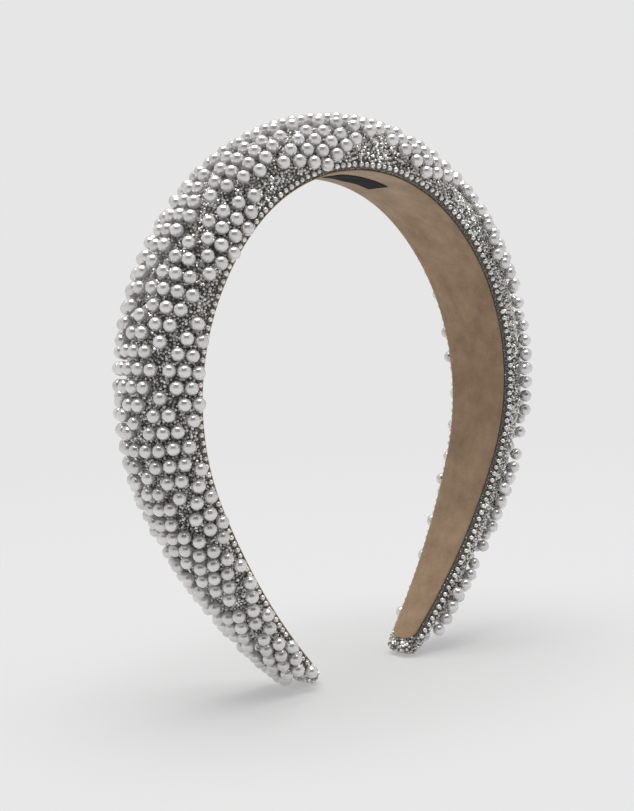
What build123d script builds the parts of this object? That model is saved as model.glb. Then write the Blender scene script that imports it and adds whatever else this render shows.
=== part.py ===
"""A padded hair band: a springy plastic arch with a domed foam pad, wrapped in cloth and covered in small
crystals, with diamonds of pearl beads on the outside and a suede lining on the inside.

The arch lies in the XZ plane and is as wide as its half widths say along Y. Z is up, the crown is at the
top, and the two tips stand on Z = 0. Every layer is drawn in sections that stand square to the arch. In a
section, u runs along Y and n runs outward from the face that touches the head, where n is 0.

The real strip bends all over when the arms are spread. Here each layer is cut square across at the two flex
lines, into a crown, a right arm (+X) and a left arm (-X), and each arm turns about a line across the band.
"""

import os
from math import cos, degrees, floor, hypot, pi, radians, sin

from build123d import *

os.makedirs("parts", exist_ok=True)

# Arch: three tangent arcs from the middle of the crown to a tip, along the face that touches the head
CROWN_RADIUS = 47.6
CROWN_HALF_ANGLE = 43.2  # degrees, from the middle of the crown to the flex line
SHOULDER_RADIUS = 61.8
SHOULDER_ANGLE = 69.5
ARM_RADIUS = 176.5
ARM_LENGTH = 58.8

# Half widths of the lining, and how far the dome of crystals rises over its upright sides
CROWN_HALF_WIDTH = 11.9
TIP_HALF_WIDTH = 4.2
WIDTH_TAPER = 1.92  # power of the taper from the flex line to the tip
CROWN_RISE = 10.0
TIP_RISE = 1.7
HEIGHT_TAPER = 2.7
FOAM_SIDE = 0.12  # upright part of the foam's sides
RIM = 1.2  # from the edge of the lining to the outside of the crystals

# Layers, from the head outward
LAYER_GAP = 0.06  # between layers that are glued
LINING_THICKNESS = 0.8
CORE_THICKNESS = 1.6
CORE_INSET = 0.6  # from the edge of the lining to the edge of the plastic strip
CORE_END_CLEARANCE = 0.5  # from the end of the plastic strip to the cloth around it
CLOTH_THICKNESS = 0.5
HEM_WIDTH = 3.2
TAPE_CLEARANCE = 0.4  # from the edge of a hem to the tape
CRYSTAL_THICKNESS = 0.8

# Ends
END_COVER = 2.4  # from the end of the arch line to the outside of the crystals
TOE_LENGTH = 3.6  # of the inner face that the crystals cover at a tip
TOE_CLEARANCE = 0.3  # from the lining to the crystals of the toe
FOAM_SHORTFALL = 9.0  # from the end of the arch line to the end of the foam
TAPE_SHORTFALL = 9.0  # before the end of the lining
TIP_PLAN_RADIUS = 3.4  # a tip's corners, seen from outside
TIP_CORNER_RADIUS = 3.0  # a tip's outer corner, seen from the side
LINING_END_RADIUS = 2.9
FLEX_GAP = 0.3  # between a crown layer and the same layer on an arm

# Pearls
PEARL_DIAMETER = 3.5
PEARL_SEAT = 0.08  # clear of the crystals
ROW_PITCH = 3.54  # along the face that touches the head
PEARL_PITCH = 3.66  # across the dome
DIAMOND_SIDE = 4  # pearls along a side of a diamond
DIAMOND_PERIOD = 32.5  # along the face that touches the head
COLUMN_PITCH = 8.2  # across the dome, between columns of diamonds
OUTER_COLUMN = 2  # columns each side of the middle one
PATTERN_START = -44.6  # a diamond of the middle column
PATTERN_SHIFT = 1.2  # of the middle column from the crest, at the middle of the crown
PATTERN_DRIFT = 0.042  # of the columns across the dome, as a share of the way along the arch
PEARL_SPACE = 0.06  # least space between two pearls
LOWEST_PEARL = 3.0  # height of the lowest pearl's centre above the face that touches the head
LAST_PEARL = 4.2  # from the end of the arch line

# Beads along the edge of the lining
EDGE_BEAD_DIAMETER = 1.5
EDGE_BEAD_PITCH = 1.95
EDGE_BEAD_HEIGHT = 1.9  # height of their centres above the face that touches the head

# Label
LABEL_LENGTH = 17.0
LABEL_WIDTH = 8.0
LABEL_THICKNESS = 0.5
LABEL_PLACE = 9.0  # along the arch from the middle of the crown

SECTIONS = 14  # along an arm
STEPS = 160  # along half a section, to measure the way across the dome


# --- Layers, inward from the outside of the crystals and up from the face that touches the head -------
cloth_outside = CRYSTAL_THICKNESS + LAYER_GAP
cloth_inside = cloth_outside + CLOTH_THICKNESS
pad_outside = cloth_inside + LAYER_GAP
hem_bottom = LINING_THICKNESS + LAYER_GAP
hem_top = hem_bottom + CLOTH_THICKNESS
core_bottom = hem_top + LAYER_GAP
core_top = core_bottom + CORE_THICKNESS
foam_bottom = core_top + LAYER_GAP
rim_bottom = EDGE_BEAD_HEIGHT + EDGE_BEAD_DIAMETER / 2 + LAYER_GAP
side_height = foam_bottom + FOAM_SIDE


# --- The arch -------------------------------------------------------------------------------------
flex_line = CROWN_RADIUS * radians(CROWN_HALF_ANGLE)
shoulder_length = SHOULDER_RADIUS * radians(SHOULDER_ANGLE)
half_length = flex_line + shoulder_length + ARM_LENGTH


def arch(s):
    """Place and slope of the arch at a distance s from the middle of the crown: (x, z, angle), with the
    middle of the crown at x = 0, z = 0. Minus s is the left side."""
    side = -1 if s < 0 else 1
    x = z = angle = 0.0
    left = abs(s)
    for radius, length in (
        (CROWN_RADIUS, flex_line),
        (SHOULDER_RADIUS, shoulder_length),
        (ARM_RADIUS, ARM_LENGTH),
    ):
        turn = min(left, length) / radius
        x += radius * (sin(angle + turn) - sin(angle))
        z -= radius * (cos(angle) - cos(angle + turn))
        angle += turn
        left -= min(left, length)
    x += left * cos(angle)
    z -= left * sin(angle)
    return side * x, z, side * angle


def taper(s, power):
    """1 at the flex line and on the crown, 0 at the end of the arch line."""
    share = (abs(s) - flex_line) / (half_length - flex_line)
    return 1 - max(share, 0.0) ** power


def lining_reach(s):
    """Half width of the lining."""
    return TIP_HALF_WIDTH + (CROWN_HALF_WIDTH - TIP_HALF_WIDTH) * taper(s, WIDTH_TAPER)


def reach(s):
    """Half width at the outside of the crystals."""
    return lining_reach(s) + RIM


def height(s):
    """Height of the crystals above the face that touches the head."""
    return side_height + TIP_RISE + (CROWN_RISE - TIP_RISE) * taper(s, HEIGHT_TAPER)


# The outer corner of a tip is the lowest place, and it is rounded
tip_end = half_length + END_COVER
tip_x, tip_z, tip_angle = arch(tip_end)
corner_back = TIP_CORNER_RADIUS * sin(tip_angle)
corner_height = height(tip_end - TIP_CORNER_RADIUS) - TIP_CORNER_RADIUS
crown_z = TIP_CORNER_RADIUS - (tip_z + corner_back + corner_height * cos(tip_angle))

core_end = tip_end - pad_outside - CORE_END_CLEARANCE
lining_end = tip_end - TOE_LENGTH - TOE_CLEARANCE
toe_start = tip_end - TOE_LENGTH
arm_start = flex_line + FLEX_GAP
edge_bead_out = EDGE_BEAD_DIAMETER / 2 + LAYER_GAP


# --- Places on the arch ---------------------------------------------------------------------------
def point(s, u, n):
    """A point of the section at s, u across the band and n above the face that touches the head."""
    x, z, angle = arch(s)
    return (x + n * sin(angle), u, crown_z + z + n * cos(angle))


def station(s):
    """The plane of the section at s: its x is u and its y is n."""
    angle = arch(s)[2]
    return Plane(origin=point(s, 0, 0), x_dir=(0, 1, 0), z_dir=(cos(angle), 0, -sin(angle)))


def rectangle(s, half, bottom, top):
    """A flat layer's section."""
    with BuildSketch(station(s)) as profile:
        with Locations((0, (bottom + top) / 2)):
            Rectangle(2 * half, top - bottom)
    return profile.sketch


def dome(s, inset, bottom):
    """A section with upright sides and a half ellipse over them, a distance inset inside the crystals."""
    half = reach(s) - inset
    with BuildSketch(station(s)) as profile:
        with BuildLine():
            Polyline((-half, side_height), (-half, bottom), (half, bottom), (half, side_height))
            EllipticalCenterArc((0, side_height), half, height(s) - inset - side_height, arc_size=180)
        make_face()
    return profile.sketch


def swept_crown(profile):
    """The solid that a section at the left flex line makes as it turns to the right flex line."""
    axis = Axis((0, 0, crown_z - CROWN_RADIUS), (0, 1, 0))
    with BuildPart() as piece:
        revolve(profile, axis=axis, revolution_arc=2 * CROWN_HALF_ANGLE)
    return piece.part


def lofted_arm(section, start, end):
    """The solid through sections of the right arm, from start to end. All layers share the sections
    between, so that they keep their distances from each other."""
    step = (half_length - arm_start) / SECTIONS
    shared = [arm_start + step * i for i in range(1, SECTIONS)]
    between = [s for s in shared if start + step / 4 < s < end - step / 4]
    with BuildPart() as piece:
        loft([section(s) for s in [start, *between, end]])
    return piece.part


def corners(plane, half, radius):
    """What is cut away at the end of a strip so that its two corners are rounded."""
    with BuildSketch(plane) as cut:
        with Locations((0, radius / 2 - half)):
            Rectangle(4 * half, 2 * half + radius)
        with Locations((0, radius)):
            Rectangle(2 * (half - radius), 2 * radius, mode=Mode.SUBTRACT)
        with Locations((half - radius, radius), (radius - half, radius)):
            Circle(radius, mode=Mode.SUBTRACT)
    return cut.sketch


def end_plane(end):
    """The plane of the band at an end, seen from outside: its x is u, and its y points back up the arm."""
    angle = arch(end)[2]
    return Plane(origin=point(end, 0, 0), x_dir=(0, 1, 0), z_dir=(sin(angle), 0, cos(angle)))


def rounded_tip(solid, end, inset):
    """A tip with its corners rounded, seen from outside and from the side."""
    plan_radius = TIP_PLAN_RADIUS - inset
    corner_radius = TIP_CORNER_RADIUS - inset
    half = reach(end - plan_radius) - inset
    top = height(end - corner_radius) - inset
    angle = arch(end)[2]
    from_side = Plane(origin=point(end, 0, 0), x_dir=(-cos(angle), 0, sin(angle)), z_dir=(0, 1, 0))
    with BuildPart() as piece:
        add(solid)
        extrude(corners(end_plane(end), half, plan_radius), amount=2 * top, both=True, mode=Mode.SUBTRACT)
        with BuildSketch(from_side):
            with Locations((corner_radius / 2, top)):
                Rectangle(corner_radius, 2 * corner_radius)
            with Locations((corner_radius, top - corner_radius)):
                Circle(corner_radius, mode=Mode.SUBTRACT)
        extrude(amount=2 * half, both=True, mode=Mode.SUBTRACT)
    return piece.part


def save(name, solid):
    """Label a finished piece and write it."""
    solid.label = name
    export_step(solid, f"parts/{name}.step")


def save_layer(name, crown, right_arm):
    """Write a layer's crown, right arm and left arm, which is the right arm's mirror image."""
    save("crown_" + name, crown)
    save("right_arm_" + name, right_arm)
    with BuildPart() as left_arm:
        add(right_arm)
        mirror(about=Plane.YZ, mode=Mode.REPLACE)
    save("left_arm_" + name, left_arm.part)


# --- Plastic strip, foam, tape and lining ---------------------------------------------------------
def core_section(s):
    return rectangle(s, lining_reach(s) - CORE_INSET, core_bottom, core_top)


def foam_section(s):
    return dome(s, pad_outside, foam_bottom)


def tape_section(s):
    return rectangle(s, reach(s) - cloth_outside - HEM_WIDTH - TAPE_CLEARANCE, hem_bottom, hem_top)


def lining_section(s):
    return rectangle(s, lining_reach(s), 0, LINING_THICKNESS)


def rounded_strip(section, end, half, radius):
    """A flat layer on the right arm, its end rounded in plan."""
    with BuildPart() as piece:
        add(lofted_arm(section, arm_start, end))
        extrude(corners(end_plane(end), half, radius), amount=2 * core_top, both=True, mode=Mode.SUBTRACT)
    return piece.part


core_radius = TIP_PLAN_RADIUS - pad_outside
core_half = lining_reach(core_end - core_radius) - CORE_INSET
lining_half = lining_reach(lining_end - LINING_END_RADIUS)

save_layer(
    "core",
    swept_crown(core_section(-flex_line)),
    rounded_strip(core_section, core_end, core_half, core_radius),
)
save_layer(
    "foam",
    swept_crown(foam_section(-flex_line)),
    lofted_arm(foam_section, arm_start, half_length - FOAM_SHORTFALL),
)
# At the tip the hems meet, so the tape ends where it would be narrower than a hem is thick
tape_end = lining_end - TAPE_SHORTFALL
save_layer(
    "lining_tape",
    swept_crown(tape_section(-flex_line)),
    lofted_arm(tape_section, arm_start, tape_end),
)
save_layer(
    "lining",
    swept_crown(lining_section(-flex_line)),
    rounded_strip(lining_section, lining_end, lining_half, LINING_END_RADIUS),
)


# --- Cloth wrapped around the pad, with its hems turned under the plastic strip ----------------------
def cloth_outer(s):
    return dome(s, cloth_outside, hem_bottom)


def cloth_inner(s):
    return dome(s, cloth_inside, hem_top)


def hem_opening(s):
    """The space between the two hems, on the face that touches the head."""
    return rectangle(s, reach(s) - cloth_outside - HEM_WIDTH, 0, core_bottom)


with BuildPart() as crown_cloth:
    add(swept_crown(cloth_outer(-flex_line)))
    add(swept_crown(cloth_inner(-flex_line)), mode=Mode.SUBTRACT)
    add(swept_crown(hem_opening(-flex_line)), mode=Mode.SUBTRACT)

cloth_end = tip_end - cloth_outside
pocket_end = tip_end - cloth_inside
before_arm = arm_start - FLEX_GAP
wrapped_arm = rounded_tip(lofted_arm(cloth_outer, arm_start, cloth_end), cloth_end, cloth_outside)
pocket = rounded_tip(lofted_arm(cloth_inner, before_arm, pocket_end), pocket_end, cloth_inside)
with BuildPart() as arm_cloth:
    add(wrapped_arm)
    add(pocket, mode=Mode.SUBTRACT)
    add(lofted_arm(hem_opening, before_arm, tape_end + TAPE_CLEARANCE), mode=Mode.SUBTRACT)

save_layer("cover_cloth", crown_cloth.part, arm_cloth.part)


# --- Crystals: a shell over the cloth, open along the lining and closed around each tip ---------------
def crystal_outer(s):
    return dome(s, 0, rim_bottom)


def crystal_inner(s):
    return dome(s, CRYSTAL_THICKNESS, 0)


def toe_outer(s):
    return dome(s, 0, 0)


def toe_inner(s):
    return dome(s, CRYSTAL_THICKNESS, CRYSTAL_THICKNESS)


with BuildPart() as crown_crystals:
    add(swept_crown(crystal_outer(-flex_line)))
    add(swept_crown(crystal_inner(-flex_line)), mode=Mode.SUBTRACT)

crystal_inner_end = tip_end - CRYSTAL_THICKNESS
with BuildPart() as arm_crystals:
    add(lofted_arm(crystal_outer, arm_start, tip_end))
    add(lofted_arm(toe_outer, toe_start, tip_end))
    add(lofted_arm(crystal_inner, before_arm, toe_start), mode=Mode.SUBTRACT)
    add(lofted_arm(toe_inner, toe_start, crystal_inner_end), mode=Mode.SUBTRACT)
arm_crystals_rounded = rounded_tip(arm_crystals.part, tip_end, 0)

save_layer("crystal_layer", crown_crystals.part, arm_crystals_rounded)


# --- Pearls: diamonds in columns, sewn on top of the crystals -----------------------------------------
def dome_line(s, outward):
    """Half of the line across the dome at s, a distance outward of the crystals, from the crest down to
    the face that touches the head: (way along the line, u, n) for each step."""
    a = reach(s)
    b = height(s) - side_height
    line = [(0.0, 0.0, height(s) + outward)]
    for i in range(1, STEPS + 1):
        turn = pi / 2 * i / STEPS
        steep = hypot(b * sin(turn), a * cos(turn))
        u = a * sin(turn) + outward * b * sin(turn) / steep
        n = side_height + b * cos(turn) + outward * a * cos(turn) / steep
        line.append((line[-1][0] + hypot(u - line[-1][1], n - line[-1][2]), u, n))
    line.append((line[-1][0] + side_height, line[-1][1], 0.0))
    return line


def across(line, way):
    """The place (u, n) at a way from the crest along a dome's line, or None where the line has ended."""
    for before, after in zip(line, line[1:]):
        if after[0] >= abs(way):
            share = (abs(way) - before[0]) / (after[0] - before[0])
            u = before[1] + share * (after[1] - before[1])
            return (-u if way < 0 else u), before[2] + share * (after[2] - before[2])
    return None


def diamond():
    """The pearls of a diamond: steps along the arch and across the dome from its middle."""
    for row in range(1 - DIAMOND_SIDE, DIAMOND_SIDE):
        pearls_in_row = DIAMOND_SIDE - abs(row)
        for i in range(pearls_in_row):
            yield row * ROW_PITCH, (i - (pearls_in_row - 1) / 2) * PEARL_PITCH


def pearl_places():
    """The place of every pearl's centre, as (s, u, n)."""
    outward = PEARL_SEAT + PEARL_DIAMETER / 2
    crown_way = dome_line(0, outward)[-1][0]
    first_period = floor(-half_length / DIAMOND_PERIOD) - 1
    periods = range(first_period, -first_period + 1)
    places = []
    centres = []
    for column in range(-OUTER_COLUMN, OUTER_COLUMN + 1):
        for period in periods:
            middle = PATTERN_START + (period + column % 2 / 2) * DIAMOND_PERIOD
            if abs(middle) > half_length:
                continue
            # The columns lean across the dome and draw together where it narrows
            narrowing = dome_line(middle, outward)[-1][0] / crown_way
            middle_way = (column * COLUMN_PITCH + PATTERN_SHIFT + PATTERN_DRIFT * middle) * narrowing
            for along, sideways in diamond():
                s = middle + along
                if abs(s) > half_length - LAST_PEARL:
                    continue
                place = across(dome_line(s, outward), middle_way + sideways)
                if place is None or place[1] < LOWEST_PEARL:
                    continue
                centre = Vector(*point(s, *place))
                if any((centre - other).length < PEARL_DIAMETER + PEARL_SPACE for other in centres):
                    continue
                centres.append(centre)
                places.append((s, *place))
    return places


def region(s):
    """The body that a bead at s sits on."""
    if abs(s) < flex_line + FLEX_GAP / 2:
        return "crown"
    return "right_arm" if s > 0 else "left_arm"


def save_beads(name, places, diameter):
    """Write the beads of each body as one node of separate balls."""
    for body in ("crown", "right_arm", "left_arm"):
        with BuildPart() as beads:
            with Locations([point(*place) for place in places if region(place[0]) == body]):
                Sphere(diameter / 2)
        save(f"{body}_{name}", beads.part)


pearls = pearl_places()
save_beads("pearls", pearls, PEARL_DIAMETER)


# --- Beads along both edges of the lining, left out where a pearl hangs over the edge -------------------
def clear_of_pearls(place):
    """Whether a bead there would stand clear of every pearl."""
    room = (PEARL_DIAMETER + EDGE_BEAD_DIAMETER) / 2 + PEARL_SPACE
    centre = Vector(*point(*place))
    return all((centre - Vector(*point(*pearl))).length > room for pearl in pearls)


def edge_bead_place(i, side):
    """The place (s, u, n) of one bead of the row on that side."""
    s = i * EDGE_BEAD_PITCH
    return s, side * (reach(s) - cloth_outside + edge_bead_out), EDGE_BEAD_HEIGHT


steps = floor((toe_start - EDGE_BEAD_DIAMETER) / EDGE_BEAD_PITCH)
rows = [edge_bead_place(i, side) for i in range(-steps, steps + 1) for side in (-1, 1)]
save_beads("edge_beads", [place for place in rows if clear_of_pearls(place)], EDGE_BEAD_DIAMETER)


# --- Label, sewn flat on the lining under the crown ---------------------------------------------------
label_turn = degrees(LABEL_LENGTH / CROWN_RADIUS)
with BuildPart() as label:
    with BuildSketch(station(LABEL_PLACE - LABEL_LENGTH / 2)):
        with Locations((0, -LAYER_GAP - LABEL_THICKNESS / 2)):
            Rectangle(LABEL_WIDTH, LABEL_THICKNESS)
    revolve(axis=Axis((0, 0, crown_z - CROWN_RADIUS), (0, 1, 0)), revolution_arc=label_turn)
save("crown_label", label.part)
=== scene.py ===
"""Looks of the padded hair band: a crystal-covered pad with diamonds of pearl beads, and a suede lining.

All sizes are in millimetres and are turned to metres where a mesh is made. The band is drawn in sections that
stand square to its arch: s runs along the arch from the middle of the crown, plus to the right (+X), u runs
across the band along Y, and n runs outward from the face that touches the head. Every layer is made as a left
and a right half that meet at the middle of the crown.
"""

from itertools import combinations
from math import cos, pi, radians, sin

import bpy
import numpy as np
from mathutils import Matrix, Vector
from mathutils.kdtree import KDTree


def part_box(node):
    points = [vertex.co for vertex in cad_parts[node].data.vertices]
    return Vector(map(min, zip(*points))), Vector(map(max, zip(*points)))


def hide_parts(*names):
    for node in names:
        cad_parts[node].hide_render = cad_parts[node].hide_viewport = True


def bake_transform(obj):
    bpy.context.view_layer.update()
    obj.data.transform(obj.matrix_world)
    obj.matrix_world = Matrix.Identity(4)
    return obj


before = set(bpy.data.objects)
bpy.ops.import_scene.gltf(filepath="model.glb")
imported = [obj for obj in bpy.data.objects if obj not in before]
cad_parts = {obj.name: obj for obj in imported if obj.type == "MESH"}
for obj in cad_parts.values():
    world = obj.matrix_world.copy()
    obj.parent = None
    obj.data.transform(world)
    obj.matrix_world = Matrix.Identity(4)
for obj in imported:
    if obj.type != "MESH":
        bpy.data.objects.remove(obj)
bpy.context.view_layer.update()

MM = 0.001
rng = np.random.default_rng(11)

# Arch: three tangent arcs from the middle of the crown to a tip, as (radius, length)
FLEX_LINE = 47.6 * radians(43.2)
ARCS = ((47.6, FLEX_LINE), (61.8, 61.8 * radians(69.5)), (176.5, 58.8))
HALF_LENGTH = sum(length for radius, length in ARCS)

# Half widths of the lining and heights of the dome, at the crown and at the end of the arch line
CROWN_HALF_WIDTH, TIP_HALF_WIDTH, WIDTH_TAPER = 11.9, 4.2, 1.92
CROWN_HEIGHT, TIP_HEIGHT, HEIGHT_TAPER = 13.2, 4.9, 2.7
SIDE_HEIGHT = 3.2  # of the upright side under the dome
RIM = 1.2  # from the lining's edge to the outside of the crystals
LINING_THICKNESS = 0.8
CLOTH_INSET = 0.86  # from the outside of the crystals to the cloth
HEM_BOTTOM = 0.86
HEM_CORNER = 0.5  # radius of the cloth's turn under the pad
LEAST_DOME = 0.3
DOME_STEPS, SIDE_STEPS, CORNER_STEPS, HEM_STEPS = 48, 4, 5, 9

# Ends of the band
END_COVER = 2.4
TOE_LENGTH = 3.6
TOE_CLEARANCE = 0.3
TIP_PLAN_RADIUS = 3.4
TIP_CORNER_RADIUS = 3.0
LINING_END_RADIUS = 2.9
TIP_END = HALF_LENGTH + END_COVER
TOE_START = TIP_END - TOE_LENGTH
LINING_END = TOE_START - TOE_CLEARANCE

# Flat strips: CAD layer, finish, inset from the lining's edge, bottom, top, end, radius of the end
STRIPS = (
    ("lining", "suede", 0.0, 0.0, LINING_THICKNESS, LINING_END, LINING_END_RADIUS),
    ("lining_tape", "tape", 3.26, 0.92, 1.32, LINING_END - 9.0, 0.8),
    ("core", "plastic_strip", 0.6, 1.42, 3.02, TIP_END - 1.92, 1.98),
)
FACE_POWER, EDGE_POWER = 0.32, 0.6  # of the strips' sections: the lower, the squarer
LEAST_END = 0.02  # share of a strip's rounding left square, so that its end doesn't come to a point
STRIP_STEPS = 48
STEP = 2.0  # between two sections of a pad or strip
SHARP_TURN = 50  # degrees, beyond which an edge shades as a corner

# Pearls
PEARL_DIAMETER = 3.5
PEARL_SEAT = 0.08
ROW_PITCH, PEARL_PITCH = 3.54, 3.66
DIAMOND_SIDE = 4
DIAMOND_PERIOD = 32.5
COLUMN_PITCH = 8.2
OUTER_COLUMN = 2
PATTERN_START, PATTERN_SHIFT, PATTERN_DRIFT = -44.6, 1.2, 0.042
PEARL_SPACE = 0.06
LOWEST_PEARL = 3.0
LAST_PEARL = 4.2
PEARL_STRAY, PEARL_SIZE_SPREAD = 0.05, 0.012  # mm, share
PEARL_CUTS, EDGE_BEAD_CUTS = 4, 3  # squares along each side of a ball's cube

# Small beads along the edge of the lining
EDGE_BEAD_DIAMETER = 1.5
EDGE_BEAD_PITCH = 1.95
EDGE_BEAD_HEIGHT = 1.9
EDGE_BEAD_STRAY, EDGE_BEAD_SIZE_SPREAD = 0.07, 0.06  # mm, share

# Crystals
CRYSTAL_SPACING = 0.67  # least distance between two crystals' centres
CRYSTAL_RADIUS = 0.50
CRYSTAL_TRIES = 8.0  # random places tried in each square of the spacing
CRYSTAL_COVER = 0.02  # least depth below the outside of the crystal layer
LOWEST_SIDE_CRYSTAL = 0.95
TOE_MARGIN = 0.2  # from the lining's end to the first crystals on the inner face
BEAD_ROW_TOP = 2.75  # below this height the crystals stand among the small beads
AMONG_BEADS_SIZE, AMONG_BEADS_LIFT, AMONG_BEADS_PAINTED_SHADE = 0.55, 0.2, 0.15  # share, mm, and the share of the tone kept, which darkens the crystals among the beads as painted shade of the gap beside the lining

# Label
LABEL_LENGTH, LABEL_WIDTH, LABEL_THICKNESS, LABEL_PLACE = 17.0, 8.0, 0.14, 9.0
LABEL_GAP, LABEL_WAVE, LABEL_STAND_OFF = 0.10, 0.10, 0.35
LABEL_ROWS, LABEL_COLUMNS = 40, 20

BEND_START, BEND_END = 8.0, 84.0  # the stretch of the arch that bends when an arm is spread

crown_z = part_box("crown_lining")[1].z / MM - LINING_THICKNESS  # top of the arch line

# --- The arch and its sections ----------------------------------------------------------------------
def arch(s):
    """x, z and slope at ways s: each arc of radius R adds R times the change of the slope's sine to x, and
    takes R times the change of its cosine from z. Past the last arc the line goes straight on."""
    way = np.abs(np.asarray(s, float))
    x, z, angle = np.zeros_like(way), np.zeros_like(way), np.zeros_like(way)
    for radius, length in ARCS:
        turn = np.minimum(way, length) / radius
        x += radius * (np.sin(angle + turn) - np.sin(angle))
        z -= radius * (np.cos(angle) - np.cos(angle + turn))
        angle += turn
        way = way - np.minimum(way, length)
    side = np.where(np.asarray(s) < 0, -1.0, 1.0)
    return side * (x + way * np.cos(angle)), z - way * np.sin(angle), side * angle


def place(s, u, n):
    """Points in metres: the arch's point at s, plus n along its outward normal (sin, 0, cos of the slope),
    plus u along Y."""
    x, z, angle = arch(s)
    points = np.broadcast_arrays(x + n * np.sin(angle), u, crown_z + z + n * np.cos(angle))
    return np.stack(points, -1) * MM


def taper(s, power):
    """1 on the crown, falling to 0 at the end of the arch line as 1 minus a power of the way down the arm."""
    share = (np.abs(s) - FLEX_LINE) / (HALF_LENGTH - FLEX_LINE)
    return 1 - np.maximum(share, 0.0) ** power


def lining_reach(s):
    """Half width of the lining: its width at the tip plus the taper's share of the rest."""
    return TIP_HALF_WIDTH + (CROWN_HALF_WIDTH - TIP_HALF_WIDTH) * taper(s, WIDTH_TAPER)


def reach(s):
    """Half width over the crystals: the lining's, plus the rim that stands out beside it."""
    return lining_reach(s) + RIM


def height(s):
    """Height of the dome over the crystals, from the face that touches the head, by the taper."""
    return TIP_HEIGHT + (CROWN_HEIGHT - TIP_HEIGHT) * taper(s, HEIGHT_TAPER)


def end_round(s, end, radius):
    """How far a corner of that radius has drawn in at s: radius minus the circle's height there."""
    past = np.clip(np.abs(s) - (end - radius), 0, radius)
    return radius - np.sqrt(radius**2 - past**2)


def stations(end, step, radius):
    """Ways along one half, from the middle to the end, close together where the end is rounded. The first
    step is short, so that the two halves shade as one where they meet."""
    straight = np.linspace(0, end - radius, max(2, int((end - radius) / step)))
    curve = end - radius + radius * np.sin(np.linspace(0, pi / 2, 9)[1:])  # even turns of the round end
    return np.concatenate([[0.0, 0.3], straight[1:], curve])


# --- Meshes -----------------------------------------------------------------------------------------
def make_mesh(name, points, faces, smooth=True):
    """A mesh object from points in metres and an array of faces that all have the same number of corners."""
    mesh = bpy.data.meshes.new(name)
    mesh.vertices.add(len(points))
    mesh.vertices.foreach_set("co", np.asarray(points, np.float32).ravel())
    mesh.loops.add(faces.size)
    mesh.loops.foreach_set("vertex_index", faces.astype(np.int32).ravel())
    mesh.polygons.add(len(faces))
    mesh.polygons.foreach_set("loop_start", np.arange(0, faces.size, faces.shape[1], dtype=np.int32))
    mesh.polygons.foreach_set("loop_total", np.full(len(faces), faces.shape[1], np.int32))
    mesh.polygons.foreach_set("use_smooth", np.full(len(faces), smooth))
    mesh.update(calc_edges=True)
    mesh.validate()
    piece = bpy.data.objects.new(name, mesh)
    bpy.context.scene.collection.objects.link(piece)
    return piece


def tube_faces(rows, columns):
    """Triangles of a closed tube of rows by columns, with a fan at each end around one more point."""
    i, j = np.meshgrid(np.arange(rows - 1), np.arange(columns), indexing="ij")
    a, b = i * columns + j, i * columns + (j + 1) % columns
    c, d = b + columns, a + columns
    walls = np.concatenate([np.stack([a, b, c], -1), np.stack([a, c, d], -1)]).reshape(-1, 3)
    ring = np.arange(columns)
    after = (ring + 1) % columns
    last = (rows - 1) * columns
    start_cap = np.stack([after, ring, np.full(columns, rows * columns)], -1)
    end_cap = np.stack([last + ring, last + after, np.full(columns, rows * columns + 1)], -1)
    return np.concatenate([walls, start_cap, end_cap])


def facing_out(points, faces):
    """The faces turned over if the volume that they enclose comes out negative."""
    a, b, c = (points[faces[:, k]] for k in range(3))
    volume = np.einsum("ij,ij->i", a, np.cross(b, c)).sum()
    return faces if volume > 0 else faces[:, ::-1]


def tube(name, s, u, n):
    """A closed tube through sections: s has one value for each row, u and n are rows by columns."""
    points = place(s[:, None], u, n)
    caps = points[[0, -1]].mean(axis=1)
    points = np.concatenate([points.reshape(-1, 3), caps])
    faces = facing_out(points, tube_faces(*u.shape))
    piece = make_mesh(name, points, faces)
    sharpen(piece, SHARP_TURN)
    return piece


def sharpen(piece, limit):
    """Edges that turn by more than the limit, in degrees, shade as corners."""
    mesh = piece.data
    count = len(mesh.edges)
    normals = np.zeros(len(mesh.polygons) * 3, np.float32)
    mesh.polygons.foreach_get("normal", normals)
    normals = normals.reshape(-1, 3)
    edge_of_loop = np.zeros(len(mesh.loops), np.int32)
    mesh.loops.foreach_get("edge_index", edge_of_loop)
    polygon_of_loop = np.repeat(np.arange(len(mesh.polygons)), 3)
    order = np.argsort(edge_of_loop, kind="stable")
    edges, polygons = edge_of_loop[order], polygon_of_loop[order]
    pair = np.nonzero(edges[1:] == edges[:-1])[0]
    turn = np.einsum("ij,ij->i", normals[polygons[pair]], normals[polygons[pair + 1]])
    sharp = np.zeros(count, bool)
    sharp[edges[pair]] = turn < cos(radians(limit))
    mesh.attributes.new("sharp_edge", "BOOLEAN", "EDGE").data.foreach_set("value", sharp)


def ball(cuts):
    """A ball of radius 1, as a cube's six faces cut into squares and pushed out: points and square faces."""
    ticks = np.tan(np.linspace(-pi / 4, pi / 4, cuts + 1))
    a, b = np.meshgrid(ticks, ticks, indexing="ij")
    one = np.ones_like(a)
    sides = [(a, b, one), (b, a, -one), (one, a, b), (-one, b, a), (b, one, a), (a, -one, b)]
    points = np.concatenate([np.stack(side, -1).reshape(-1, 3) for side in sides])
    points /= np.linalg.norm(points, axis=1, keepdims=True)
    i, j = np.meshgrid(np.arange(cuts), np.arange(cuts), indexing="ij")
    corner = (i * (cuts + 1) + j).ravel()
    square = np.stack([corner, corner + cuts + 1, corner + cuts + 2, corner + 1], -1)
    faces = np.concatenate([square + k * (cuts + 1) ** 2 for k in range(6)])
    keys, first, same = np.unique(np.round(points, 6), axis=0, return_index=True, return_inverse=True)
    faces = same.ravel()[faces]
    return keys, facing_out(keys, faces)


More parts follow.
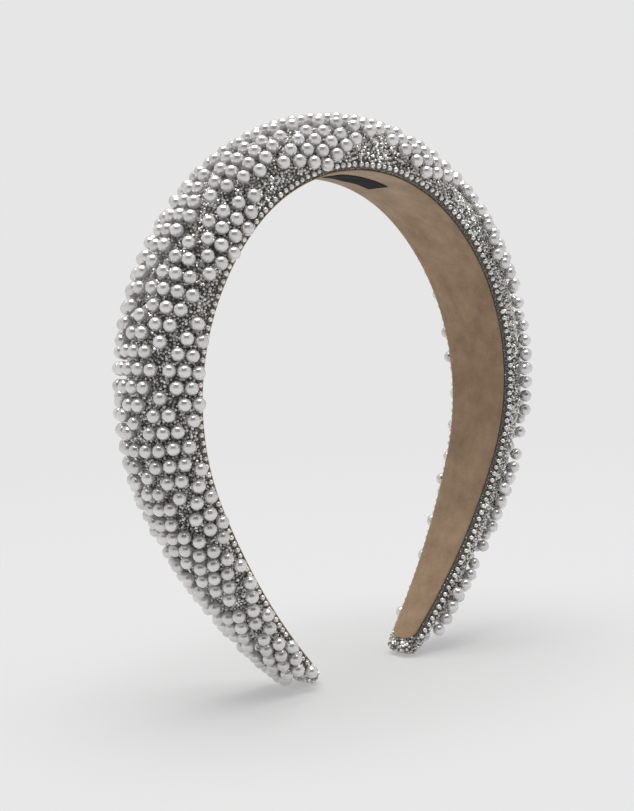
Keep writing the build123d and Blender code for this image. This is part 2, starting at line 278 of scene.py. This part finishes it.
def icosahedron():
    """Twenty-sided crystal of radius 1: the corners are all turns of (0, 1, golden ratio), and three that
    stand 2 apart make a face."""
    g = (1 + 5**0.5) / 2
    points = [(0, a, b * g) for a in (-1, 1) for b in (-1, 1)]
    points += [(a, b * g, 0) for a in (-1, 1) for b in (-1, 1)]
    points += [(b * g, 0, a) for a in (-1, 1) for b in (-1, 1)]
    points = np.array(points, float)
    near = np.linalg.norm(points[:, None] - points[None], axis=-1) < 2.1
    triples = np.array(list(combinations(range(12), 3)))
    i, j, k = triples.T
    faces = triples[near[i, j] & near[j, k] & near[i, k]]
    a, b, c = (points[faces[:, k]] for k in range(3))
    inward = np.einsum("ij,ij->i", np.cross(b - a, c - a), a) < 0
    faces[inward] = faces[inward][:, ::-1]
    return points / np.linalg.norm(points[0]), faces


def many(name, shape, centres, turns, scales, tones, smooth):
    """Copies of one small shape in a single mesh: each copy is turned, scaled along its three axes and moved.
    Each copy's tone is kept as an attribute for its material."""
    points, faces = shape
    copies = np.einsum("nij,npj->npi", turns, points[None] * scales[:, None]) + centres[:, None]
    first_points = np.arange(len(centres))[:, None, None] * len(points)
    all_faces = (faces[None] + first_points).reshape(-1, faces.shape[1])
    piece = make_mesh(name, copies.reshape(-1, 3), all_faces, smooth)
    tone = piece.data.attributes.new("tone", "FLOAT", "POINT")
    tone.data.foreach_set("value", np.repeat(tones, len(points)).astype(np.float32))
    return piece


def random_turns(count):
    """Evenly random turns: rotation matrices of normalised random quaternions."""
    q = rng.normal(size=(count, 4))
    w, x, y, z = (q / np.linalg.norm(q, axis=1, keepdims=True)).T
    rows = [
        [1 - 2 * (y * y + z * z), 2 * (x * y - w * z), 2 * (x * z + w * y)],
        [2 * (x * y + w * z), 1 - 2 * (x * x + z * z), 2 * (y * z - w * x)],
        [2 * (x * z - w * y), 2 * (y * z + w * x), 1 - 2 * (x * x + y * y)],
    ]
    return np.moveaxis(np.array(rows), -1, 0)


# --- Materials --------------------------------------------------------------------------------------
def colour(value):
    """An sRGB hex colour as linear red, green, blue and alpha."""
    parts = [int(value[i : i + 2], 16) / 255 for i in (1, 3, 5)]
    return [p / 12.92 if p <= 0.04045 else ((p + 0.055) / 1.055) ** 2.4 for p in parts] + [1.0]


def node(tree, kind, links=(), **settings):
    """Adds a shader node, sets its properties or its unlinked sockets, and links (socket, source) pairs."""
    made = tree.nodes.new("ShaderNode" + kind)
    for name, value in settings.items():
        if hasattr(made, name):
            setattr(made, name, value)
        else:
            made.inputs[name.replace("_", " ")].default_value = value
    for socket, source in links:
        tree.links.new(source, made.inputs[socket])
    return made


def material(name, **settings):
    """A material with one Principled shader: returns it, its node tree and the shader."""
    made = bpy.data.materials.new(name)
    made.use_nodes = True
    tree = made.node_tree
    shader = tree.nodes["Principled BSDF"]
    for socket, value in settings.items():
        shader.inputs[socket.replace("_", " ")].default_value = value
    return made, tree, shader


def pearl_coating():
    """Plastic beads with a pearlescent coating: a white ground under a soft, half-metallic lustre."""
    made, tree, shader = material(
        "pearlescent_coating", Roughness=0.14, Metallic=0.56, Coat_Weight=0.5, Coat_Roughness=0.05
    )
    tone = node(tree, "Attribute", attribute_name="tone").outputs["Fac"]
    tint = node(tree, "MixRGB", [("Fac", tone)], Color1=colour("#DCDAD9"), Color2=colour("#EDEBEA"))
    where = node(tree, "TexCoord").outputs["Object"]
    cloud = node(tree, "TexNoise", [("Vector", where)], Scale=1 / (2.5 * MM), Detail=1.0)
    relief = node(tree, "Bump", [("Height", cloud.outputs["Fac"])], Distance=0.012 * MM)
    tree.links.new(tint.outputs["Color"], shader.inputs["Base Color"])
    tree.links.new(relief.outputs["Normal"], shader.inputs["Normal"])
    return made


def crystal_glass():
    """Small faceted crystals with silver behind them, so each facet is a little mirror."""
    made, tree, shader = material("silver_backed_crystal", Roughness=0.08, Metallic=0.62)
    tone = node(tree, "Attribute", attribute_name="tone").outputs["Fac"]
    tint = node(tree, "MixRGB", [("Fac", tone)], Color1=colour("#8F8B85"), Color2=colour("#FFFEFB"))
    tree.links.new(tint.outputs["Color"], shader.inputs["Base Color"])
    return made


def silver_bead_metal():
    """Round beads with a bright silver-coloured plating."""
    made, tree, shader = material("silver_plated_bead", Roughness=0.16, Metallic=0.6)
    tone = node(tree, "Attribute", attribute_name="tone").outputs["Fac"]
    tint = node(tree, "MixRGB", [("Fac", tone)], Color1=colour("#DAD8D3"), Color2=colour("#FBFAF6"))
    tree.links.new(tint.outputs["Color"], shader.inputs["Base Color"])
    return made


def ground_cloth_and_gap_shade():
    """Plain-woven polyester with a dull silver thread: it only shows in the gaps between crystals, and both
    its tones are kept dark as painted shade of those gaps. Threads
    0.35 mm apart."""
    made, tree, shader = material("silver_grey_cloth_and_gap_shade", Roughness=0.7, Sheen_Weight=0.2)
    where = node(tree, "TexCoord").outputs["Object"]
    weave = node(tree, "TexVoronoi", [("Vector", where)], Scale=1 / (0.35 * MM)).outputs["Distance"]
    # The weave is the cloth's own pattern; the darkness of both greys is painted shade of the gaps between
    # crystals.
    tint = node(tree, "MixRGB", [("Fac", weave)], Color1=colour("#7E7C77"), Color2=colour("#55534D"))
    relief = node(tree, "Bump", [("Height", weave)], Distance=0.15 * MM)
    tree.links.new(tint.outputs["Color"], shader.inputs["Base Color"])
    tree.links.new(relief.outputs["Normal"], shader.inputs["Normal"])
    return made


def suede():
    """Brushed suede: dull, with patches where the nap lies another way, about 5 mm across, and fine fibres,
    drawn 0.5 mm apart so that they show."""
    made, tree, shader = material(
        "tan_suede", Roughness=0.95, Sheen_Weight=0.25, Sheen_Roughness=0.6, Specular_IOR_Level=0.2
    )
    where = node(tree, "TexCoord").outputs["Object"]
    patches = node(tree, "TexNoise", [("Vector", where)], Scale=1 / (6.5 * MM), Detail=3.0, Roughness=0.6)
    fibres = node(tree, "TexNoise", [("Vector", where)], Scale=1 / (0.5 * MM), Detail=2.0).outputs["Fac"]
    nap = node(tree, "MixRGB", [("Color1", patches.outputs["Fac"]), ("Color2", fibres)], Fac=0.3)
    shade = node(tree, "MapRange", [("Value", nap.outputs["Color"])], From_Min=0.3, From_Max=0.7)
    tint = node(
        tree, "MixRGB", [("Fac", shade.outputs["Result"])], Color1=colour("#836A4E"), Color2=colour("#AE9274")
    )
    relief = node(tree, "Bump", [("Height", fibres)], Distance=0.12 * MM, Strength=0.6)
    tree.links.new(tint.outputs["Color"], shader.inputs["Base Color"])
    tree.links.new(relief.outputs["Normal"], shader.inputs["Normal"])
    return made


def label_satin():
    """Black woven satin, blank: smooth floats of thread 0.4 mm apart, raised by a bump and tinted lighter in
    stripes along them as a painted sheen.
    """
    made, tree, shader = material("black_satin_and_painted_sheen", Roughness=0.8, Specular_IOR_Level=0.05)
    where = node(tree, "TexCoord").outputs["Object"]
    threads_and_sheen = node(tree, "TexWave", [("Vector", where)], Scale=1 / (0.4 * MM) / (2 * pi), Distortion=0.6)
    # The lighter of the two tones, along the threads, is painted sheen; the satin itself is near black.
    tint = node(
        tree, "MixRGB", [("Fac", threads_and_sheen.outputs["Fac"])], Color1=colour("#242324"), Color2=colour("#3A3839")
    )
    relief = node(tree, "Bump", [("Height", threads_and_sheen.outputs["Fac"])], Distance=0.05 * MM)
    tree.links.new(tint.outputs["Color"], shader.inputs["Base Color"])
    tree.links.new(relief.outputs["Normal"], shader.inputs["Normal"])
    return made


def moulded_plastic():
    """Moulded polypropylene strip: waxy, with faint flow marks."""
    made, tree, shader = material("moulded_polypropylene", Roughness=0.45)
    where = node(tree, "TexCoord").outputs["Object"]
    marks = node(tree, "TexNoise", [("Vector", where)], Scale=1 / (4 * MM), Detail=2.0).outputs["Fac"]
    tint = node(tree, "MixRGB", [("Fac", marks)], Color1=colour("#DAD6CC"), Color2=colour("#E6E3DA"))
    tree.links.new(tint.outputs["Color"], shader.inputs["Base Color"])
    return made


def adhesive_tape():
    """Double-sided tape: a milky film with small creases."""
    made, tree, shader = material("double_sided_tape", Roughness=0.35)
    where = node(tree, "TexCoord").outputs["Object"]
    creases = node(tree, "TexNoise", [("Vector", where)], Scale=1 / (2.5 * MM), Detail=3.0).outputs["Fac"]
    tint = node(tree, "MixRGB", [("Fac", creases)], Color1=colour("#D8D3C4"), Color2=colour("#EBE8DE"))
    tree.links.new(tint.outputs["Color"], shader.inputs["Base Color"])
    return made


materials = {
    "pearl": pearl_coating(),
    "crystal": crystal_glass(),
    "silver_bead": silver_bead_metal(),
    "silver_cloth": ground_cloth_and_gap_shade(),
    "suede": suede(),
    "satin_label": label_satin(),
    "plastic_strip": moulded_plastic(),
    "tape": adhesive_tape(),
}


# --- Putting a piece on the frame ---------------------------------------------------------------------
HALVES = ((1, "right", "right_arm"), (-1, "left", "left_arm"))


def bend(piece, side):
    """Bakes the piece's transform into its mesh. It finds the two ends of the stretch of the arch that gives,
    from the crown into the arm, but does not use them.
    """
    start, end = place(np.array([side * BEND_START, side * BEND_END]), 0.0, CROWN_HEIGHT / 2)
    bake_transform(piece)


def finish_half(piece, side, arm, slot, layers):
    """Gives a half its finish, hides the CAD layers that it stands for, and bakes its transform into its
    mesh.
    The crown's nodes go with the left half."""
    piece.data.materials.append(materials[slot])
    for layer in layers:
        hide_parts(f"{arm}_{layer}")
        if side < 0:
            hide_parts(f"crown_{layer}")
    bend(piece, side)


# --- The pad in its cloth, and the crystals on it -------------------------------------------------------
def pad_section(s):
    """Section of the covered pad for each s, as rows by columns: a half ellipse over upright sides, and
    below them the turned-under cloth with rounded corners. Near a tip the width and the height draw in."""
    end = TIP_END - CLOTH_INSET
    half = (reach(s) - CLOTH_INSET - end_round(s, end, TIP_PLAN_RADIUS - CLOTH_INSET))[:, None]
    top = (height(s) - CLOTH_INSET - end_round(s, end, TIP_CORNER_RADIUS - CLOTH_INSET))[:, None]
    side = np.minimum(SIDE_HEIGHT, top - LEAST_DOME)
    over = np.linspace(0, pi, DOME_STEPS + 1)
    u_over = half * np.cos(over)
    n_over = side + (top - side) * np.sin(over)
    down = np.linspace(0, 1, SIDE_STEPS + 1)[1:-1]
    corner = np.linspace(0, pi / 2, CORNER_STEPS + 1)
    low = HEM_BOTTOM + HEM_CORNER
    u_side = np.concatenate([np.ones(len(down)), 1 - 0 * corner])
    drop = np.concatenate([np.zeros(len(down)), HEM_CORNER * (1 - np.cos(corner))])
    n_side = np.concatenate([side + (low - side) * down, low - HEM_CORNER * np.sin(corner) + 0 * side], 1)
    u_left = -half * u_side + drop
    flat = np.linspace(-1, 1, HEM_STEPS + 1)[1:-1] * (half - HEM_CORNER)
    n_flat = np.full_like(flat, HEM_BOTTOM)
    u = np.concatenate([u_over, u_left, flat, -u_left[:, ::-1]], 1)
    return u, np.concatenate([n_over, n_side, n_flat, n_side[:, ::-1]], 1)


def make_pad(side, word, arm):
    """The foam in its cloth, as one stuffed form."""
    s = side * stations(TIP_END - CLOTH_INSET, STEP, TIP_CORNER_RADIUS)
    u, n = pad_section(s)
    piece = tube(f"{word}_covered_pad", s, u, n)
    finish_half(piece, side, arm, "silver_cloth", ("foam", "cover_cloth"))
    return s, u, n


def scatter(s, u, n, spacing):
    """Points spread over the pad no closer than the spacing, with the outward normal at each, and whether
    it is among the beads along the lining: random places on the pad's faces, by area, from which every one
    too near an earlier one is dropped."""
    points = place(s[:, None], u, n)
    rows, columns = u.shape
    flat = np.concatenate([points.reshape(-1, 3), points[[0, -1]].mean(axis=1)])
    faces = facing_out(flat, tube_faces(rows, columns))
    caps_start = len(faces) - 2 * columns
    along = np.concatenate([np.repeat(np.abs(s), columns), [0, TIP_END - CLOTH_INSET]])
    level = np.concatenate([n.ravel(), [0, n[-1].mean()]])
    across = np.concatenate([u.ravel(), [0, 0]])
    faces = np.delete(faces, np.arange(caps_start, caps_start + columns), axis=0)  # where the halves meet
    a, b, c = (flat[faces[:, k]] for k in range(3))
    cross = np.cross(b - a, c - a)
    area = np.linalg.norm(cross, axis=1) / 2
    count = int(CRYSTAL_TRIES * area.sum() / (spacing * MM) ** 2)
    pick = rng.choice(len(faces), count, p=area / area.sum())
    p, q = rng.random(count), rng.random(count)
    over = p + q > 1
    p[over], q[over] = 1 - p[over], 1 - q[over]
    corners = faces[pick]
    weights = np.stack([1 - p - q, p, q], -1)
    way = (weights * along[corners]).sum(1)
    from_middle = (weights * np.abs(across[corners])).sum(1)
    edge = lining_reach(way) - end_round(way, LINING_END, LINING_END_RADIUS)
    past_lining = (from_middle > edge + TOE_MARGIN) | (way > LINING_END + TOE_MARGIN)
    around_toe = (way > LINING_END - LINING_END_RADIUS) & past_lining
    above_head = (weights * level[corners]).sum(1)
    covered = around_toe | (above_head > LOWEST_SIDE_CRYSTAL)
    spots = np.einsum("nk,nki->ni", weights, flat[corners])[covered]
    normals = (cross[pick] / np.linalg.norm(cross[pick], axis=1, keepdims=True))[covered]
    among_beads = (~around_toe & (above_head < BEAD_ROW_TOP))[covered]
    count = len(spots)
    tree = KDTree(count)
    for i, spot in enumerate(spots):
        tree.insert(spot, i)
    tree.balance()
    kept = np.ones(count, bool)
    for i in range(count):
        if kept[i]:
            for near in tree.find_range(spots[i], spacing * MM):
                if near[1] > i:
                    kept[near[1]] = False
    return spots[kept], normals[kept], among_beads[kept]


def make_crystals(side, word, arm, section):
    """Crystals over the whole pad down to the small beads, and around the tip on to its inner face."""
    spots, normals, among_beads = scatter(*section, CRYSTAL_SPACING)
    count = len(spots)
    size = CRYSTAL_RADIUS * (1 + 0.12 * rng.normal(size=count)).clip(0.75, 1.15)
    size = np.where(among_beads, AMONG_BEADS_SIZE * size, size)
    depth = size + CRYSTAL_COVER - 0.06 * rng.normal(size=count).clip(-1, 1)
    lift = np.where(among_beads, AMONG_BEADS_LIFT, CLOTH_INSET - depth)
    centres = spots + normals * lift[:, None] * MM
    scales = size[:, None] * (1 + 0.12 * (rng.random((count, 3)) - 0.5)) * MM
    # Crystals among the beads get darker tones: painted shade of the gap beside the lining.
    tones = rng.random(count) * np.where(among_beads, AMONG_BEADS_PAINTED_SHADE, 1.0)
    piece = many(f"{word}_crystals", icosahedron(), centres, random_turns(count), scales, tones, False)
    finish_half(piece, side, arm, "crystal", ("crystal_layer",))


# --- Pearls -------------------------------------------------------------------------------------------
def dome_line(s, outward, steps=160):
    """Half of the line across the dome at s, a distance outward of the crystals: ways, u and n from the
    crest down. The ellipse's points are moved outward along its normal."""
    a, b = reach(s), height(s) - SIDE_HEIGHT
    turn = np.linspace(0, pi / 2, steps + 1)
    steep = np.hypot(b * np.sin(turn), a * np.cos(turn))
    u = a * np.sin(turn) + outward * b * np.sin(turn) / steep
    n = SIDE_HEIGHT + b * np.cos(turn) + outward * a * np.cos(turn) / steep
    way = np.concatenate([[0], np.cumsum(np.hypot(np.diff(u), np.diff(n)))])
    return np.append(way, way[-1] + SIDE_HEIGHT), np.append(u, u[-1]), np.append(n, 0.0)


def diamond():
    """The pearls of a diamond: steps along the arch and across the dome from its middle."""
    for row in range(1 - DIAMOND_SIDE, DIAMOND_SIDE):
        pearls_in_row = DIAMOND_SIDE - abs(row)
        for i in range(pearls_in_row):
            yield row * ROW_PITCH, (i - (pearls_in_row - 1) / 2) * PEARL_PITCH


def pearl_places():
    """The place (s, u, n) of every pearl's centre: columns of diamonds, each column half a period on from
    its neighbours. The columns lean across the dome and draw together where it narrows."""
    outward = PEARL_SEAT + PEARL_DIAMETER / 2
    crown_way = dome_line(0, outward)[0][-1]
    last_period = int(HALF_LENGTH / DIAMOND_PERIOD) + 2
    places, centres = [], np.zeros((0, 3))
    for column in range(-OUTER_COLUMN, OUTER_COLUMN + 1):
        for period in range(-last_period, last_period + 1):
            middle = PATTERN_START + (period + column % 2 / 2) * DIAMOND_PERIOD
            if abs(middle) > HALF_LENGTH:
                continue
            narrowing = dome_line(middle, outward)[0][-1] / crown_way
            middle_way = (column * COLUMN_PITCH + PATTERN_SHIFT + PATTERN_DRIFT * middle) * narrowing
            for along, sideways in diamond():
                s, way = middle + along, middle_way + sideways
                ways, us, ns = dome_line(s, outward)
                n = np.interp(abs(way), ways, ns)
                if abs(s) > HALF_LENGTH - LAST_PEARL or abs(way) > ways[-1] or n < LOWEST_PEARL:
                    continue
                u = np.sign(way) * np.interp(abs(way), ways, us)
                centre = place(s, u, n)
                apart = np.linalg.norm(centres - centre, axis=1)
                if (apart < (PEARL_DIAMETER + PEARL_SPACE) * MM).any():
                    continue
                centres = np.vstack([centres, centre])
                places.append((s, u, n))
    return np.array(places)


def make_pearls(side, word, arm, places):
    """The pearls of one half, each a little off its place and size, as sewn beads are."""
    mine = places[(places[:, 0] * side > 0) | ((places[:, 0] == 0) & (side > 0))]
    count = len(mine)
    centres = place(*mine.T) + PEARL_STRAY * MM * rng.normal(size=(count, 3)).clip(-1.5, 1.5)
    sizes = 1 + PEARL_SIZE_SPREAD * rng.normal(size=(count, 1)).clip(-2, 2)
    scales = np.full((count, 3), PEARL_DIAMETER / 2 * MM) * sizes
    tones = rng.random(count)
    piece = many(f"{word}_pearls", ball(PEARL_CUTS), centres, random_turns(count), scales, tones, True)
    finish_half(piece, side, arm, "pearl", ("pearls",))


def make_edge_beads(side, word, arm, pearls):
    """The single row of small beads along both edges of the lining, left out where a pearl is in the way."""
    steps = int((TOE_START - EDGE_BEAD_DIAMETER) / EDGE_BEAD_PITCH)
    s = side * np.arange(0 if side > 0 else 1, steps + 1) * EDGE_BEAD_PITCH
    out = reach(s) - CLOTH_INSET + EDGE_BEAD_DIAMETER / 2 + 0.06
    centres = place(np.tile(s, 2), np.concatenate([out, -out]), EDGE_BEAD_HEIGHT)
    away = np.linalg.norm(centres[:, None] - place(*pearls.T)[None], axis=-1).min(axis=1)
    centres = centres[away > ((PEARL_DIAMETER + EDGE_BEAD_DIAMETER) / 2 + PEARL_SPACE) * MM]
    count = len(centres)
    centres = centres + EDGE_BEAD_STRAY * MM * rng.normal(size=(count, 3)).clip(-1.5, 1.5)
    sizes = 1 + EDGE_BEAD_SIZE_SPREAD * (rng.normal(size=(count, 1)).clip(-2, 1) - 1)
    scales = np.full((count, 3), EDGE_BEAD_DIAMETER / 2 * MM) * sizes
    turns, tones = random_turns(count), rng.random(count)
    piece = many(f"{word}_edge_beads", ball(EDGE_BEAD_CUTS), centres, turns, scales, tones, True)
    finish_half(piece, side, arm, "silver_bead", ("edge_beads",))


# --- Lining and label ---------------------------------------------------------------------------------
def make_strip(side, word, arm, strip):
    """A flat strip with a rounded end. Its section is a rounded oval: u and n follow powers of the cosine and
    the sine of a turn, so the faces are nearly flat and the edges soft."""
    layer, slot, inset, bottom, top, end, radius = strip
    s = side * stations(end, STEP, radius)
    half = (lining_reach(s) - inset - end_round(s, end, radius) * (1 - LEAST_END))[:, None]
    turn = np.linspace(0, 2 * pi, STRIP_STEPS, endpoint=False)
    u = half * np.sign(np.cos(turn)) * np.abs(np.cos(turn)) ** FACE_POWER
    n = bottom + (top - bottom) / 2 * (1 + np.sign(np.sin(turn)) * np.abs(np.sin(turn)) ** EDGE_POWER)
    piece = tube(f"{word}_{layer}", s, u, n * np.ones_like(half))
    finish_half(piece, side, arm, slot, (layer,))


def make_label():
    """A blank woven tape, sewn down at its ends: a thin closed sheet that follows the lining and stands off
    it by shallow waves, a sine of both ways over the sheet that a parabola brings to nothing at the ends."""
    s = LABEL_PLACE + LABEL_LENGTH * (np.linspace(0, 1, LABEL_ROWS) - 0.5)
    a, b = np.meshgrid(np.linspace(-1, 1, LABEL_ROWS), np.linspace(-1, 1, LABEL_COLUMNS), indexing="ij")
    wave = LABEL_WAVE * (1 - a**2) * (np.sin(5.0 * a + 2.0 * b) + 1 + b)
    lower = -LABEL_GAP - wave.clip(0, LABEL_STAND_OFF)
    u = LABEL_WIDTH / 2 * b
    u = np.concatenate([u, u[:, ::-1]], 1)
    n = np.concatenate([lower - LABEL_THICKNESS, lower[:, ::-1]], 1)
    piece = tube("blank_label", s, u, n)
    piece.data.materials.append(materials["satin_label"])
    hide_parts("crown_label")
    bend(piece, 1)


pearls = pearl_places()
for side, word, arm in HALVES:
    pad = make_pad(side, word, arm)
    make_crystals(side, word, arm, pad)
    make_pearls(side, word, arm, pearls)
    make_edge_beads(side, word, arm, pearls)
    for strip in STRIPS:
        make_strip(side, word, arm, strip)
make_label()


# --- Floor, light and camera --------------------------------------------------------------------------
BACKGROUND = "#E6E6E6"
FLOOR_RADIUS, FLOOR_SIDES, FLOOR_RINGS = 4.0, 96, 23  # radius in metres
FLOOR_COLOUR = (0.59, 0.59, 0.59, 1)
GLOW_START, GLOW_FULL, LEAST_GLOW = 0.16, 0.5, 0.45  # metres from the middle of the floor, and a share

# Soft patches of light and dark over an even wall light: azimuth and elevation of the middle, the angles
# where the patch is full and where it has faded out, and its brightness
WALL_LIGHT = 0.62
LIGHTS = ((0, 90, 20, 31, 5.4), (-58, 36, 18, 33, 0.03), (-20, 36, 18, 33, 0.03))

camera_target = Vector((0, 0, 75.6)) * MM
CAMERA_AZIMUTH, CAMERA_ELEVATION, CAMERA_TURN = radians(-39.37), radians(5.05), radians(2.99)
CAMERA_DISTANCE = 380 * MM
CAMERA_SHIFT = (-0.0299, -0.0113)
LENS, SENSOR = 61.932, 36  # mm


def make_floor():
    """A wide disc of rings whose radii grow as a square. Close by it is a matt surface that takes shadows,
    and further out it gives off the background's own colour, so that no horizon shows."""
    turn = np.linspace(0, 2 * pi, FLOOR_SIDES, endpoint=False)
    radii = FLOOR_RADIUS * np.linspace(0, 1, FLOOR_RINGS + 1)[1:] ** 2
    ring = np.stack([np.cos(turn), np.sin(turn), np.zeros_like(turn)], -1)
    points = np.concatenate([[[0, 0, 0]], (radii[:, None, None] * ring).reshape(-1, 3)])
    sides = np.arange(FLOOR_SIDES)
    i, j = np.meshgrid(np.arange(FLOOR_RINGS - 1), sides, indexing="ij")
    a, b = 1 + i * FLOOR_SIDES + j, 1 + i * FLOOR_SIDES + (j + 1) % FLOOR_SIDES
    c, d = b + FLOOR_SIDES, a + FLOOR_SIDES
    rings = np.concatenate([np.stack([a, d, c], -1), np.stack([a, c, b], -1)]).reshape(-1, 3)
    hub = np.stack([0 * sides, 1 + sides, 1 + (sides + 1) % FLOOR_SIDES], -1)
    floor = make_mesh("floor", points, np.concatenate([rings, hub]))
    made, tree, shader = material(
        "paper_sweep", Roughness=1.0, Specular_IOR_Level=0.0, Base_Color=FLOOR_COLOUR
    )
    where = node(tree, "TexCoord").outputs["Object"]
    away = node(tree, "VectorMath", [(0, where)], operation="LENGTH")
    share = node(
        tree,
        "MapRange",
        [("Value", away.outputs["Value"])],
        interpolation_type="SMOOTHSTEP",
        From_Min=GLOW_START,
        From_Max=GLOW_FULL,
        To_Min=LEAST_GLOW,
    )
    glow = node(tree, "Emission", Color=colour(BACKGROUND))
    parts = [(0, share.outputs["Result"]), (1, shader.outputs["BSDF"]), (2, glow.outputs["Emission"])]
    mix = node(tree, "MixShader", parts)
    tree.links.new(mix.outputs["Shader"], tree.nodes["Material Output"].inputs["Surface"])
    floor.data.materials.append(made)


def make_world():
    """Studio light: a bright ceiling, even walls, and two dark openings in front of the band. The camera
    itself sees the plain background."""
    world = bpy.data.worlds.new("studio")
    bpy.context.scene.world = world
    world.use_nodes = True
    tree = world.node_tree
    direction = node(tree, "TexCoord").outputs["Generated"]
    light = None
    for azimuth, elevation, near, far, value in LIGHTS:
        middle = (
            sin(radians(azimuth)) * cos(radians(elevation)),
            -cos(radians(azimuth)) * cos(radians(elevation)),
            sin(radians(elevation)),
        )
        towards = node(tree, "VectorMath", [(0, direction)], operation="DOT_PRODUCT")
        towards.inputs[1].default_value = middle
        share = node(
            tree,
            "MapRange",
            [("Value", towards.outputs["Value"])],
            interpolation_type="SMOOTHSTEP",
            From_Min=cos(radians(far)),
            From_Max=cos(radians(near)),
        )
        mix = node(tree, "Mix", [("Factor", share.outputs["Result"])], data_type="FLOAT", B=value)
        mix.inputs["A"].default_value = WALL_LIGHT
        if light:
            tree.links.new(light, mix.inputs["A"])
        light = mix.outputs["Result"]
    studio = node(tree, "Background", [("Color", light)])
    plain = node(tree, "Background", Color=colour(BACKGROUND))
    seen = node(tree, "LightPath").outputs["Is Camera Ray"]
    mix = node(tree, "MixShader", [(0, seen), (1, studio.outputs[0]), (2, plain.outputs[0])])
    tree.links.new(mix.outputs["Shader"], tree.nodes["World Output"].inputs["Surface"])


def make_camera():
    """The camera looks at the band's middle from low on its left, turned a little about its own line of
    sight, with a small shift that sets the band in the frame."""
    back = Vector((
        sin(CAMERA_AZIMUTH) * cos(CAMERA_ELEVATION),
        -cos(CAMERA_AZIMUTH) * cos(CAMERA_ELEVATION),
        sin(CAMERA_ELEVATION),
    ))
    level = Vector((cos(CAMERA_AZIMUTH), sin(CAMERA_AZIMUTH), 0))
    rise = back.cross(level)
    across = level * cos(CAMERA_TURN) - rise * sin(CAMERA_TURN)
    up = level * sin(CAMERA_TURN) + rise * cos(CAMERA_TURN)
    data = bpy.data.cameras.new("camera")
    data.sensor_width = SENSOR
    data.lens = LENS
    data.shift_x, data.shift_y = CAMERA_SHIFT
    data.clip_start, data.clip_end = 0.01, 20
    camera = bpy.data.objects.new("camera", data)
    camera.matrix_world = Matrix.Translation(camera_target + back * CAMERA_DISTANCE) @ Matrix(
        (across, up, back)
    ).transposed().to_4x4()
    bpy.context.scene.collection.objects.link(camera)
    bpy.context.scene.camera = camera


make_floor()
make_world()
make_camera()
bpy.context.scene.view_settings.view_transform = "Standard"
